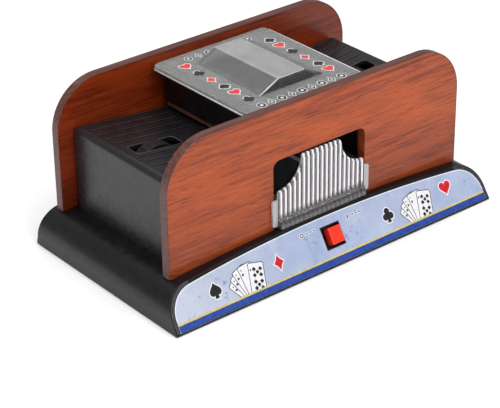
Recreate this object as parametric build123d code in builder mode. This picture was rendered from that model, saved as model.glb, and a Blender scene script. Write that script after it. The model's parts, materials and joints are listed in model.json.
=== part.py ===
from build123d import *
from math import acos, cos, pi, radians, sin, sqrt, tan
import os

os.makedirs("parts", exist_ok=True)

# ---------------------------------------------------------------------------
# Automatic card shuffler, millimetres.  +X along the length, -Y is the front
# with the switch, +Z up.  The origin is the middle of the footprint, on the
# surface that the feet stand on.
# ---------------------------------------------------------------------------
length = 240.0            # overall, along X
depth = 135.0             # overall, along Y
height = 105.0            # overall, to the top of the lid's ridge

# base
foot_h = 0.6              # the feet stand this far below the base's edge
wall = 2.2                # wall of the base shell
slope = 0.631             # the front face leans back this much per mm of height
back_lean = 0.15          # the back face leans in this much per mm of height
deck_z = 27.0             # top of the arched deck, in the middle
deck_end_x = 105.0        # the arch ends here
deck_end_z = 22.5

# wooden side panels
panel_x = 108.7           # half length
panel_t = 5.7
panel_top = 101.7
panel_r = 30.0            # radius of the two top corners
band_t = 0.5              # edge banding
front_in = -41.1          # inner face of the front panel
back_in = 54.75           # inner face of the back panel
window_x = 34.4           # half width of the drawer window
window_top = 69.6
window_r = 4.7

# tray housings
tray_x = 99.3             # outer end of each tray
tray_z = 75.0             # top of the tray floor at its outer end
tray_slope = 0.11         # the floor falls this much per mm towards the middle
tray_t = 2.4
groove_pitch = 7.2

# card well
well_x = 35.2             # half width, outside
well_wall = 1.4
well_back = 50.5
well_top = 95.4
feed_top = 72.9           # upper edge of the feed slot
pad_h = 2.3               # retarder pad that hangs into the feed slot

# lid
lid_x = 42.5
lid_front = -40.4
lid_back = 53.1
lid_low = 94.6
lid_top = 97.6
lid_t = 1.5
ridge_foot = 24.0
ridge_half = 9.4
ridge_front = -22.2
ridge_back = 35.0
hinge_y = 50.3
hinge_z = 93.6
pin_r = 0.8

# drawer
drawer_x = 33.3
drawer_low = 28.4
drawer_wall = 1.1
drawer_back = 48.7
drawer_side_top = 48.0

# feed drive
axle_x = 75.1
axle_z = 59.1
axle_r = 2.0
wheel_r = 15.1
wheel_y0, wheel_y1 = 4.8, 12.8
slot_x0, slot_x1 = 58.4, 89.7
slot_y0, slot_y1 = 3.6, 14.2
gear_m = 0.6              # module
n_axle, n_small, n_big, n_pinion = 30, 12, 32, 10
gear_cd = 12.75           # both centre distances
train_deg = -40.0         # direction of the gear train below the axle
run = 0.06                # radial running clearance

def deck(x):
    """Height of the arched deck at x."""
    sag = deck_z - deck_end_z
    r = (deck_end_x ** 2 + sag ** 2) / (2 * sag)
    return deck_z - (r - sqrt(r * r - x * x))

def floor_top(x):
    """Height of a tray floor at distance x from the middle."""
    return tray_z - tray_slope * (tray_x - x)

# ---------------------------------------------------------------------------
# base shell: rounded ends, arched deck, sloping front, open underneath
# ---------------------------------------------------------------------------
with BuildPart() as base_core:
    with BuildSketch(Plane.XZ):
        with BuildLine():
            Polyline((-length / 2 + wall, -1), (-length / 2 + wall + 0.4, 5.5))
            ThreePointArc((-length / 2 + wall + 0.4, 5.5), (-113.8, 16.0), (-deck_end_x + 0.6, deck_end_z - wall))
            ThreePointArc((-deck_end_x + 0.6, deck_end_z - wall), (0, deck_z - wall), (deck_end_x - 0.6, deck_end_z - wall))
            ThreePointArc((deck_end_x - 0.6, deck_end_z - wall), (113.8, 16.0), (length / 2 - wall - 0.4, 5.5))
            Polyline((length / 2 - wall - 0.4, 5.5), (length / 2 - wall, -1), (-length / 2 + wall, -1))
        make_face()
    extrude(amount=depth / 2 + 5, both=True)
    with BuildSketch(Plane.YZ):
        with BuildLine():
            Polyline((-depth / 2 + 2.62 - slope * 1.6, -1), (-depth / 2 + 2.62 + slope * 29.4, 30),
                     (depth / 2 - wall - back_lean * 29.4, 30), (depth / 2 - wall + back_lean * 1.6, -1),
                     close=True)
        make_face()
    extrude(amount=length, both=True, mode=Mode.INTERSECT)

slant = sqrt(1 + slope * slope)
face_plane = Plane(origin=(0, -depth / 2, foot_h), x_dir=(1, 0, 0), z_dir=(0, -1 / slant, slope / slant))
sw_w, sw_h = 14.4, 14.0   # switch recess
sw_s = 17.2               # its centre, measured up the sloping face

screws_at = [(-88, -30), (88, -30), (-88, 44), (88, 44), (-30, -34), (30, -34), (-30, 44), (30, 44)]
with BuildPart() as base_shell:
    with BuildSketch(Plane.XZ):
        with BuildLine():
            Polyline((-length / 2, foot_h), (-length / 2 + 0.4, 6))
            ThreePointArc((-length / 2 + 0.4, 6), (-115.4, 17.6), (-deck_end_x, deck_end_z))
            ThreePointArc((-deck_end_x, deck_end_z), (0, deck_z), (deck_end_x, deck_end_z))
            ThreePointArc((deck_end_x, deck_end_z), (115.4, 17.6), (length / 2 - 0.4, 6))
            Polyline((length / 2 - 0.4, 6), (length / 2, foot_h), (-length / 2, foot_h))
        make_face()
    extrude(amount=depth / 2 + 5, both=True)
    with BuildSketch(Plane.YZ):
        with BuildLine():
            Polyline((-depth / 2, foot_h), (-depth / 2 + slope * 29.4, 30),
                     (depth / 2 - back_lean * 29.4, 30), (depth / 2, foot_h), close=True)
        make_face()
    extrude(amount=length, both=True, mode=Mode.INTERSECT)
    add(base_core.part, mode=Mode.SUBTRACT)
    # opening in the deck for the tray housings and the card well
    with BuildSketch(Plane.XY.offset(10)):
        with Locations((0, (front_in + back_in) / 2)):
            Rectangle(2 * tray_x + 0.1, back_in - front_in + 0.1)
    extrude(amount=30, mode=Mode.SUBTRACT)
    # window for the switch
    with BuildSketch(face_plane):
        with Locations((0, sw_s)):
            Rectangle(sw_w, sw_h)
    extrude(amount=-6, mode=Mode.SUBTRACT)
    # pillars that carry the chassis plate and take the case screws
    with BuildSketch(Plane.XY.offset(2.8)):
        with Locations(*screws_at):
            Circle(3.6)
    extrude(amount=17.2)
    with BuildSketch(Plane.XY.offset(2.8)):
        with Locations(*screws_at):
            Circle(1.3)
    extrude(amount=12.0, mode=Mode.SUBTRACT)
    # ribs that tie the pillars to the shell
    with BuildSketch(Plane.XY.offset(8)):
        with Locations((-103.0, -30), (103.0, -30), (-103.0, 44), (103.0, 44)):
            Rectangle(24.0, 1.8)
        with Locations((-30, 55.8), (30, 55.8)):
            Rectangle(1.8, 17.0)
        with Locations((-30, -47.3), (30, -47.3)):
            Rectangle(1.8, 20.2)
    extrude(amount=7)
base_shell.part.label = "base_shell"
export_step(base_shell.part, "parts/base_shell.step")

# ---------------------------------------------------------------------------
# bottom cover with the battery door opening and four foot pockets
# ---------------------------------------------------------------------------
feet_at = [(-100, -48), (100, -48), (-100, 50), (100, 50)]
with BuildPart() as bottom_cover:
    with BuildSketch(Plane.XY.offset(0.8)):
        with Locations((0, 0.85)):
            RectangleRounded(2 * 117.2, 127.3, 3)
    extrude(amount=2.0)
    with BuildSketch(Plane.XY.offset(0.8)):
        with Locations(*feet_at):
            Circle(7.05)
    extrude(amount=1.0, mode=Mode.SUBTRACT)
    with BuildSketch(Plane.XY.offset(0.8)):
        with Locations((0, -5)):
            Rectangle(112.4, 38.4)
    extrude(amount=2.0, mode=Mode.SUBTRACT)
    with BuildSketch(Plane.XY.offset(0.8)):
        with Locations(*screws_at):
            Circle(3.2)
    extrude(amount=1.0, mode=Mode.SUBTRACT)
    with BuildSketch(Plane.XY.offset(0.8)):
        with Locations(*screws_at):
            Circle(1.6)
    extrude(amount=2.0, mode=Mode.SUBTRACT)
bottom_cover.part.label = "bottom_cover"
export_step(bottom_cover.part, "parts/bottom_cover.step")

with BuildPart() as rubber_feet:
    with BuildSketch(Plane.XY):
        with Locations(*feet_at):
            Circle(7.0)
    extrude(amount=1.8)
    chamfer(rubber_feet.faces().sort_by(Axis.Z)[0:4].edges(), length=0.4)
rubber_feet.part.label = "rubber_feet"
export_step(rubber_feet.part, "parts/rubber_feet.step")

with BuildPart() as battery_door:
    with BuildSketch(Plane.XY.offset(0.8)):
        with Locations((0, -5)):
            Rectangle(112.0, 38.0)
    extrude(amount=1.6)
    # finger ridges
    with BuildSketch(Plane.XY.offset(0.8)):
        with GridLocations(2.4, 0, 5, 1):
            Rectangle(1.0, 14)
    extrude(amount=0.5, mode=Mode.SUBTRACT)
    with BuildSketch(Plane.XY.offset(0.8)):
        with Locations((48, -5)):
            Circle(3.0)
    extrude(amount=0.9, mode=Mode.SUBTRACT)
    with BuildSketch(Plane.XY.offset(0.8)):
        with Locations((48, -5)):
            Circle(1.5)
    extrude(amount=1.6, mode=Mode.SUBTRACT)
battery_door.part.label = "battery_door"
export_step(battery_door.part, "parts/battery_door.step")

# screws: pan heads under the cover, shanks up into the pillars
with BuildPart() as case_screws:
    with BuildSketch(Plane.XY.offset(1.0)):
        with Locations(*screws_at):
            Circle(2.7)
    extrude(amount=0.8)
    with BuildSketch(Plane.XY.offset(1.8)):
        with Locations(*screws_at):
            Circle(1.3)
    extrude(amount=11.0)
case_screws.part.label = "case_screws"
export_step(case_screws.part, "parts/case_screws.step")

with BuildPart() as door_screw:
    with BuildSketch(Plane.XY.offset(0.9)):
        with Locations((48, -5)):
            Circle(2.6)
    extrude(amount=0.8)
    with BuildSketch(Plane.XY.offset(1.7)):
        with Locations((48, -5)):
            Circle(1.3)
    extrude(amount=2.3)
door_screw.part.label = "door_screw"
export_step(door_screw.part, "parts/door_screw.step")

# ---------------------------------------------------------------------------
# battery box with four AA cells in two rows, and their contacts
# ---------------------------------------------------------------------------
cell_r, cell_l = 7.1, 49.0
with BuildPart() as battery_box:
    with BuildSketch(Plane.XY.offset(3.0)):
        with Locations((0, -5)):
            Rectangle(110.0, 34.0)
    extrude(amount=16.4)
    with BuildSketch(Plane.XY.offset(3.0)):
        with Locations((0, -13.2), (0, 3.2)):
            Rectangle(107.0, 14.6)
    extrude(amount=15.2, mode=Mode.SUBTRACT)
    with BuildSketch(Plane.XY.offset(3.0)):
        with Locations((48, -5)):
            Circle(1.3)
    extrude(amount=9, mode=Mode.SUBTRACT)
battery_box.part.label = "battery_box"
export_step(battery_box.part, "parts/battery_box.step")

cells = [(-25.4, -13.2), (25.4, -13.2), (-25.4, 3.2), (25.4, 3.2)]
with BuildPart() as batteries:
    for cx, cy in cells:
        with BuildSketch(Plane.YZ.offset(cx - cell_l / 2)):
            with Locations((cy, 10.5)):
                Circle(cell_r)
        extrude(amount=cell_l)
        with BuildSketch(Plane.YZ.offset(cx + cell_l / 2)):
            with Locations((cy, 10.5)):
                Circle(2.6)
        extrude(amount=1.2)
batteries.part.label = "batteries"
export_step(batteries.part, "parts/batteries.step")

with BuildPart() as battery_contacts:
    for cy in (-13.2, 3.2):
        with BuildSketch(Plane.YZ.offset(-53.4)):
            with Locations((cy, 10.5)):
                Rectangle(10, 10)
        extrude(amount=0.4)
        with BuildSketch(Plane.YZ.offset(-53.0)):
            with Locations((cy, 10.5)):
                Circle(4.0)
        extrude(amount=2.9, taper=22)
        with BuildSketch(Plane.YZ.offset(53.0)):
            with Locations((cy, 10.5)):
                Rectangle(10, 10)
        extrude(amount=0.4)
        with BuildSketch(Plane.YZ.offset(51.3)):
            with Locations((cy, 10.5)):
                Circle(2.4)
        extrude(amount=1.7)
battery_contacts.part.label = "battery_contacts"
export_step(battery_contacts.part, "parts/battery_contacts.step")

# ---------------------------------------------------------------------------
# printed label on the sloping front, with the hole for the switch
# ---------------------------------------------------------------------------
with BuildPart() as front_label:
    with BuildSketch(face_plane):
        with BuildLine():
            Polyline((-117.0, 1.0), (-116.9, 7.5))
            ThreePointArc((-116.9, 7.5), (-112.4, 18.9), (-101.1, 24.4))
            ThreePointArc((-101.1, 24.4), (0, 29.6), (101.1, 24.4))
            ThreePointArc((101.1, 24.4), (112.4, 18.9), (116.9, 7.5))
            Polyline((116.9, 7.5), (117.0, 1.0), (-117.0, 1.0))
        make_face()
        with Locations((0, sw_s)):
            Rectangle(sw_w, sw_h, mode=Mode.SUBTRACT)
    extrude(amount=0.35)
front_label.part.label = "front_label"
export_step(front_label.part, "parts/front_label.step")

# ---------------------------------------------------------------------------
# power switch: black cup set into the front, sliding knob, switch behind it
# ---------------------------------------------------------------------------
with BuildPart() as switch_cup:
    with BuildSketch(face_plane.offset(0.3)):
        with Locations((0, sw_s)):
            Rectangle(sw_w, sw_h)
    extrude(amount=-5.3)
    with BuildSketch(face_plane.offset(0.3)):
        with Locations((0, sw_s)):
            Rectangle(sw_w - 1.6, sw_h - 1.6)
    extrude(amount=-4.1, mode=Mode.SUBTRACT)
    with BuildSketch(face_plane):
        with Locations((0, sw_s)):
            Rectangle(9.0, 3.6)
    extrude(amount=-6, mode=Mode.SUBTRACT)
switch_cup.part.label = "switch_cup"
export_step(switch_cup.part, "parts/switch_cup.step")

knob_w, knob_h, knob_travel = 9.0, 10.0, 3.4
knob_x = sw_w / 2 - 0.8 - 0.2 - knob_w / 2
with BuildPart() as switch_knob:
    with BuildSketch(face_plane.offset(-3.6)):
        with Locations((knob_x, sw_s)):
            Rectangle(knob_w, knob_h)
    extrude(amount=5.6)
    fillet(switch_knob.faces().sort_by(Axis((0, 0, 0), face_plane.z_dir))[-1].edges(), radius=0.8)
    with BuildSketch(face_plane.offset(-3.6)):
        with Locations((knob_x, sw_s)):
            Rectangle(3.6, 3.0)
    extrude(amount=-3.2)
switch_knob.part.label = "switch_knob"
export_step(switch_knob.part, "parts/switch_knob.step")

with BuildPart() as switch_body:
    with BuildSketch(face_plane.offset(-5.0)):
        with Locations((0, sw_s)):
            Rectangle(13.0, 7.6)
    extrude(amount=-5.4)
    with BuildSketch(face_plane.offset(-5.0)):
        with Locations((0, sw_s)):
            Rectangle(9.4, 4.2)
    extrude(amount=-2.4, mode=Mode.SUBTRACT)
    with BuildSketch(face_plane.offset(-10.4)):
        with Locations((-4, sw_s), (0, sw_s), (4, sw_s)):
            Rectangle(0.6, 2.2)
    extrude(amount=-2.6)
switch_body.part.label = "switch_body"
export_step(switch_body.part, "parts/switch_body.step")

# ---------------------------------------------------------------------------
# chassis plate inside the base, under the trays and the well
# ---------------------------------------------------------------------------
with BuildPart() as chassis_plate:
    with BuildSketch(Plane.XY.offset(20.0)):
        with Locations((0, 6.85)):
            Rectangle(193.8, 92.2)
        with Locations((-49.3, 20), (49.3, 20)):
            Circle(3.4, mode=Mode.SUBTRACT)
    extrude(amount=2.0)
chassis_plate.part.label = "chassis_plate"
export_step(chassis_plate.part, "parts/chassis_plate.step")

# ---------------------------------------------------------------------------
# wooden panels with edge banding
# ---------------------------------------------------------------------------
panel_low = deck_end_z
for node, y_in, y_out, inset in (("front_panel", front_in, front_in - panel_t, band_t),
                                 ("front_edge_band", front_in, front_in - panel_t, 0.0),
                                 ("back_panel", back_in + panel_t, back_in, band_t),
                                 ("back_edge_band", back_in + panel_t, back_in, 0.0)):
    px, pt, pr = panel_x - inset, panel_top - inset, panel_r - inset
    k = pr * (1 - sqrt(0.5))
    qx, qt, qr = panel_x - band_t, panel_top - band_t, panel_r - band_t
    j = qr * (1 - sqrt(0.5))
    with BuildPart() as panel:
        with BuildSketch(Plane.XZ.offset(-y_in)):
            with BuildLine():
                ThreePointArc((-deck_end_x, deck_end_z), (0, deck_z), (deck_end_x, deck_end_z))
                Polyline((deck_end_x, deck_end_z), (px, panel_low), (px, pt - pr))
                ThreePointArc((px, pt - pr), (px - k, pt - k), (px - pr, pt))
                Line((px - pr, pt), (-px + pr, pt))
                ThreePointArc((-px + pr, pt), (-px + k, pt - k), (-px, pt - pr))
                Polyline((-px, pt - pr), (-px, panel_low), (-deck_end_x, deck_end_z))
            make_face()
        extrude(amount=panel_t)
        if node.endswith("edge_band"):
            with BuildSketch(Plane.XZ.offset(-y_in)):
                with BuildLine():
                    Polyline((-qx, 10), (qx, 10), (qx, qt - qr))
                    ThreePointArc((qx, qt - qr), (qx - j, qt - j), (qx - qr, qt))
                    Line((qx - qr, qt), (-qx + qr, qt))
                    ThreePointArc((-qx + qr, qt), (-qx + j, qt - j), (-qx, qt - qr))
                    Line((-qx, qt - qr), (-qx, 10))
                make_face()
            extrude(amount=panel_t, mode=Mode.SUBTRACT)
        if node == "front_panel":
            with BuildSketch(Plane.XZ.offset(-y_in)):
                with Locations((0, window_top / 2)):
                    RectangleRounded(2 * window_x, window_top, window_r)
            extrude(amount=panel_t, mode=Mode.SUBTRACT)
        if node.endswith("_panel"):
            # pilot holes for the screws that hold the panel
            inner = front_in if node == "front_panel" else back_in
            with BuildSketch(Plane.XZ.offset(-inner)):
                with Locations((-90, 34), (-46, 34), (46, 34), (90, 34)):
                    Circle(1.2)
            extrude(amount=3.4 if node == "front_panel" else -3.4, mode=Mode.SUBTRACT)
    panel.part.label = node
    export_step(panel.part, f"parts/{node}.step")

# ---------------------------------------------------------------------------
# left tray housing: sloping ribbed floor on a hollow box, open to the well
# ---------------------------------------------------------------------------
with BuildPart() as left_tray_housing:
    with BuildSketch(Plane.XZ.offset(-back_in)):
        with BuildLine():
            Polyline((-tray_x, 20.0), (-tray_x, tray_z), (-well_x, floor_top(well_x)), (-well_x, 20.0), close=True)
        make_face()
    extrude(amount=back_in - front_in)
    fillet(left_tray_housing.edges().filter_by(Axis.Z).group_by(Axis.X)[0], radius=4.0)
    fillet(left_tray_housing.faces().sort_by(Axis.Z)[-1].edges().group_by(Axis.X)[0], radius=3.2)
    with BuildSketch(Plane.XZ.offset(-back_in + 1.6)):
        with BuildLine():
            Polyline((-tray_x + 2.2, 19.0), (-tray_x + 2.2, floor_top(tray_x - 2.2) - tray_t),
                     (-well_x + 2, floor_top(well_x - 2) - tray_t), (-well_x + 2, 19.0), close=True)
        make_face()
    extrude(amount=back_in - front_in - 3.2, mode=Mode.SUBTRACT)
    # opening for the feed wheel
    with BuildSketch(Plane.XY.offset(50)):
        with Locations((-(slot_x0 + slot_x1) / 2, (slot_y0 + slot_y1) / 2)):
            RectangleRounded(slot_x1 - slot_x0, slot_y1 - slot_y0, 2.2)
    extrude(amount=30, mode=Mode.SUBTRACT)
    # grooves along the floor
    groove_plane = Plane(origin=(-tray_x, 0, tray_z), x_dir=(1, 0, -tray_slope), z_dir=(tray_slope, 0, 1))
    for i in range(-5, 7):
        gy = 21.7 + groove_pitch * (i - 2)
        short = slot_y0 - 2.0 < gy < slot_y1 + 2.0
        if short:
            continue
        with BuildSketch(groove_plane):
            with Locations((33.5, gy)):
                Rectangle(55.0, 0.9)
        extrude(amount=-0.55, mode=Mode.SUBTRACT)
    # holes for the panel screws
    with BuildSketch(Plane.XZ.offset(-60)):
        with Locations((-90, 34), (-46, 34)):
            Circle(1.2)
    extrude(amount=110, mode=Mode.SUBTRACT)
left_tray_housing.part.label = "left_tray_housing"
export_step(left_tray_housing.part, "parts/left_tray_housing.step")

with BuildPart() as right_tray_housing:
    add(mirror(left_tray_housing.part, about=Plane.YZ))
right_tray_housing.part.label = "right_tray_housing"
export_step(right_tray_housing.part, "parts/right_tray_housing.step")

# ---------------------------------------------------------------------------
# card well: the black tower between the trays, with its two feed slots
# ---------------------------------------------------------------------------
with BuildPart() as card_well:
    with BuildSketch(Plane.XY.offset(22.0)):
        with Locations((0, (front_in + well_back) / 2)):
            Rectangle(2 * well_x, well_back - front_in)
    extrude(amount=well_top - 22.0)
    # flange and ears that carry the lid
    with BuildSketch(Plane.XY.offset(93.6)):
        with Locations((0, 4.4)):
            Rectangle(2 * 40.4, 83.2)
    extrude(amount=well_top - 93.6)
    for ex in (-39.3, 37.3):
        with BuildSketch(Plane.YZ.offset(ex)):
            with BuildLine():
                Polyline((40.0, 93.7), (47.0, 89.6), (49.6, 89.6), (50.0, 92.13))
                ThreePointArc((50.0, 92.13), (hinge_y + 1.5, hinge_z), (hinge_y, hinge_z + 1.5))
                Polyline((hinge_y, hinge_z + 1.5), (40.0, hinge_z + 1.5), (40.0, 93.7))
            make_face()
        extrude(amount=2.0)
    # the front wall stops below the lid's skirt
    with BuildSketch(Plane.XY.offset(94.2)):
        with Locations((0, front_in - 0.2 + 1.3)):
            Rectangle(90, 2.8)
    extrude(amount=3, mode=Mode.SUBTRACT)
    # inside
    with BuildSketch(Plane.XY.offset(27.9)):
        with Locations((0, (front_in + 1.0 + well_back - 1.2) / 2)):
            Rectangle(2 * (well_x - well_wall), well_back - 1.2 - front_in - 1.0)
    extrude(amount=80, mode=Mode.SUBTRACT)
    with BuildSketch(Plane.XY.offset(20)):
        with Locations((0, (front_in + 1.0 + well_back - 1.2) / 2)):
            Rectangle(2 * (well_x - well_wall), well_back - 1.2 - front_in - 1.0)
    extrude(amount=5.7, mode=Mode.SUBTRACT)
    # way out for the drawer
    with BuildSketch(Plane.XZ.offset(-front_in - 3)):
        with Locations((0, (27.9 + window_top) / 2)):
            Rectangle(2 * (well_x - well_wall), window_top - 27.9)
    extrude(amount=8, mode=Mode.SUBTRACT)
    # feed slots
    with BuildSketch(Plane.XZ.offset(-48.6)):
        with Locations((0, (floor_top(well_x) + feed_top) / 2)):
            Rectangle(2 * well_x + 2, feed_top - floor_top(well_x))
    extrude(amount=88.2, mode=Mode.SUBTRACT)
    # holes for the hinge pins
    with BuildSketch(Plane.YZ.offset(-45)):
        with Locations((hinge_y, hinge_z)):
            Circle(pin_r)
    extrude(amount=90, mode=Mode.SUBTRACT)
card_well.part.label = "card_well"
export_step(card_well.part, "parts/card_well.step")

with BuildPart() as feed_pads:
    with BuildSketch(Plane.XY.offset(feed_top - pad_h)):
        with Locations((-well_x + well_wall / 2, 4.5), (well_x - well_wall / 2, 4.5)):
            Rectangle(well_wall, 88.0)
    extrude(amount=pad_h)
feed_pads.part.label = "feed_pads"
export_step(feed_pads.part, "parts/feed_pads.step")

with BuildPart() as drawer_runners:
    with BuildSketch(Plane.XY.offset(27.9)):
        with Locations((-29.5, 4), (29.5, 4)):
            Rectangle(3.0, 84.0)
    extrude(amount=0.3)
drawer_runners.part.label = "drawer_runners"
export_step(drawer_runners.part, "parts/drawer_runners.step")

# ---------------------------------------------------------------------------
# clear lid: skirt, plate, hollow ridge and two knuckles on steel pins
# ---------------------------------------------------------------------------
with BuildPart() as clear_lid:
    lid_mid = (lid_front + lid_back) / 2
    with BuildSketch(Plane.XY.offset(lid_low)):
        with Locations((0, lid_mid)):
            RectangleRounded(2 * lid_x, lid_back - lid_front, 4.0)
    extrude(amount=lid_top - lid_low)
    back_top = lid_edges = clear_lid.faces().sort_by(Axis.Z)[-1].edges()
    fillet(back_top, radius=2.0)
    with BuildSketch(Plane.XY.offset(lid_low)):
        with Locations((0, lid_mid)):
            RectangleRounded(2 * (lid_x + 0.7), lid_back - lid_front - 0.6, 4.5)
    extrude(amount=0.7)
    with BuildSketch(Plane.XY.offset(lid_low)):
        with Locations((0, lid_mid)):
            RectangleRounded(2 * (lid_x - lid_t), lid_back - lid_front - 2 * lid_t, 2.6)
    extrude(amount=lid_top - lid_t - lid_low, mode=Mode.SUBTRACT)
    with BuildSketch(Plane.XZ.offset(-ridge_back)):
        with BuildLine():
            Polyline((-ridge_foot, lid_top - 0.4), (-ridge_foot, lid_top), (-ridge_half, height), (ridge_half, height),
                     (ridge_foot, lid_top), (ridge_foot, lid_top - 0.4), close=True)
        make_face()
    extrude(amount=ridge_back - ridge_front)
    with BuildSketch(Plane.XZ.offset(-ridge_back + lid_t)):
        with BuildLine():
            Polyline((-ridge_foot + 2.6, lid_top - 4), (-ridge_foot + 2.6, lid_top - 0.6), (-ridge_half + 0.6, height - lid_t),
                     (ridge_half - 0.6, height - lid_t), (ridge_foot - 2.6, lid_top - 0.6), (ridge_foot - 2.6, lid_top - 4),
                     close=True)
        make_face()
    extrude(amount=ridge_back - ridge_front - 2 * lid_t, mode=Mode.SUBTRACT)
    # knuckles
    for kx in (-37.0, 35.4):
        with BuildSketch(Plane.YZ.offset(kx)):
            with Locations((hinge_y, hinge_z)):
                Circle(1.9)
            with Locations((hinge_y, hinge_z + 1.5)):
                Rectangle(3.8, 3.0)
        extrude(amount=1.6)
        with BuildSketch(Plane.YZ.offset(kx)):
            with Locations((hinge_y, hinge_z)):
                Circle(pin_r + run)
        extrude(amount=1.6, mode=Mode.SUBTRACT)
clear_lid.part.label = "clear_lid"
export_step(clear_lid.part, "parts/clear_lid.step")

with BuildPart() as hinge_pins:
    for kx in (-39.6, 35.3):
        with BuildSketch(Plane.YZ.offset(kx)):
            with Locations((hinge_y, hinge_z)):
                Circle(pin_r)
        extrude(amount=4.3)
hinge_pins.part.label = "hinge_pins"
export_step(hinge_pins.part, "parts/hinge_pins.step")

# ---------------------------------------------------------------------------
# card drawer: clear tray and its ribbed front
# ---------------------------------------------------------------------------
plate_y = -47.1           # back of the front plate
plate_t = 1.4
plate_low = 27.6
with BuildPart() as drawer_tray:
    with BuildSketch(Plane.XY.offset(drawer_low)):
        with Locations((0, (plate_y + drawer_back) / 2)):
            Rectangle(2 * drawer_x, drawer_back - plate_y)
    extrude(amount=drawer_side_top - drawer_low)
    with BuildSketch(Plane.XY.offset(drawer_low + 1.4)):
        with Locations((0, (plate_y + drawer_back - drawer_wall) / 2)):
            Rectangle(2 * (drawer_x - drawer_wall), drawer_back - drawer_wall - plate_y)
    extrude(amount=40, mode=Mode.SUBTRACT)
    # low thumb cut in the back wall
    with BuildSketch(Plane.XZ.offset(-drawer_back - 1)):
        with Locations((0, drawer_side_top)):
            Circle(9)
    extrude(amount=4, mode=Mode.SUBTRACT)
drawer_tray.part.label = "drawer_tray"
export_step(drawer_tray.part, "parts/drawer_tray.step")

with BuildPart() as drawer_front:
    with BuildSketch(Plane.XZ.offset(-plate_y)):
        with BuildLine():
            Polyline((-32.3, plate_low), (-32.3, 50.6))
            ThreePointArc((-32.3, 50.6), (-19.4, 56.2), (-14.6, 67.4))
            Polyline((-14.6, 67.4), (-13.2, 68.6), (13.2, 68.6), (14.6, 67.4))
            ThreePointArc((14.6, 67.4), (19.4, 56.2), (32.3, 50.6))
            Polyline((32.3, 50.6), (32.3, plate_low), (-32.3, plate_low))
        make_face()
    extrude(amount=plate_t)
    # side flanges in front of the wood
    with BuildSketch(Plane.XZ.offset(-plate_y)):
        with Locations((0, 37.4)):
            RectangleRounded(72.6, 16.4, 1.2)
    extrude(amount=plate_t)
    # lip along the lower edge
    with BuildSketch(Plane.YZ.offset(-32.3)):
        with BuildLine():
            Polyline((plate_y - plate_t + 0.4, plate_low), (plate_y - plate_t - 2.6, plate_low))
            ThreePointArc((plate_y - plate_t - 2.6, plate_low), (plate_y - plate_t - 1.9, plate_low + 3.6), (plate_y - plate_t + 0.4, plate_low + 6.0))
            Line((plate_y - plate_t + 0.4, plate_low + 6.0), (plate_y - plate_t + 0.4, plate_low))
        make_face()
    extrude(amount=64.6)
    # upright ribs, cut to the outline of the plate
    for i in range(19):
        rx = -30.6 + i * 3.4
        ax = abs(rx) + 0.8
        top = 67.6 if ax < 14.2 else 50.9 + max(0.0, 17.6 - sqrt(max(0.0, 17.7 ** 2 - (32.6 - ax) ** 2)))
        top = min(top, 67.6)
        with BuildSketch(Plane.XY.offset(plate_low + 1.2)):
            with Locations((rx, plate_y - plate_t)):
                Circle(0.9)
        extrude(amount=top - plate_low - 1.2 - 0.8)
drawer_front.part.label = "drawer_front"
export_step(drawer_front.part, "parts/drawer_front.step")

# ---------------------------------------------------------------------------
# feed drives: one motor, a two-stage gear train and a wheel under each tray
# ---------------------------------------------------------------------------
ta = radians(train_deg)
ax0, az0 = -axle_x, axle_z
bx0, bz0 = ax0 + gear_cd * cos(ta), az0 + gear_cd * sin(ta)
cx0, cz0 = bx0 + gear_cd * cos(ta), bz0 + gear_cd * sin(ta)
print("axle", ax0, az0, "idler", bx0, bz0, "motor", cx0, cz0)

def gear_points(teeth, centre, phase_deg, backlash=0.12):
    """Outline of an involute gear in the XZ plane, with one tooth centred on phase_deg."""
    r = gear_m * teeth / 2
    tip, root = r + 0.9 * gear_m, r - 1.2 * gear_m
    base = r * cos(radians(20))
    inv = tan(radians(20)) - radians(20)
    half = pi / (2 * teeth) - backlash / (2 * r)
    low = max(base, root)
    radii = [low, (2 * low + tip) / 3, (low + 2 * tip) / 3, tip]
    ang = []
    for q in radii:
        t = acos(min(1.0, base / q))
        ang.append(half + inv - (tan(t) - t))
    pts = []
    for k in range(teeth):
        a0 = radians(phase_deg) + 2 * pi * k / teeth
        if root < low - 0.01:
            pts.append((root, a0 - ang[0]))
        pts += [(q, a0 - a) for q, a in zip(radii, ang)]
        pts += [(q, a0 + a) for q, a in zip(reversed(radii), reversed(ang))]
        if root < low - 0.01:
            pts.append((root, a0 + ang[0]))
    return [(centre[0] + q * cos(a), centre[1] + q * sin(a)) for q, a in pts]

with BuildPart() as left_axle_gear:
    with BuildSketch(Plane.XZ.offset(15.0)):
        with BuildLine():
            Polyline(*gear_points(n_axle, (ax0, az0), train_deg), close=True)
        make_face()
        with Locations((ax0, az0)):
            Circle(axle_r, mode=Mode.SUBTRACT)
    extrude(amount=5.0)
    with BuildSketch(Plane.XZ.offset(13.6)):
        with Locations((ax0, az0)):
            Circle(4.0)
            Circle(axle_r, mode=Mode.SUBTRACT)
    extrude(amount=1.4)
left_axle_gear.part.label = "left_axle_gear"
export_step(left_axle_gear.part, "parts/left_axle_gear.step")

with BuildPart() as left_feed_axle:
    with BuildSketch(Plane.XZ.offset(-28.0)):
        with Locations((ax0, az0)):
            Circle(axle_r)
    extrude(amount=58.6)
    chamfer(left_feed_axle.faces().filter_by(Axis.Y).edges(), length=0.3)
left_feed_axle.part.label = "left_feed_axle"
export_step(left_feed_axle.part, "parts/left_feed_axle.step")

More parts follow.
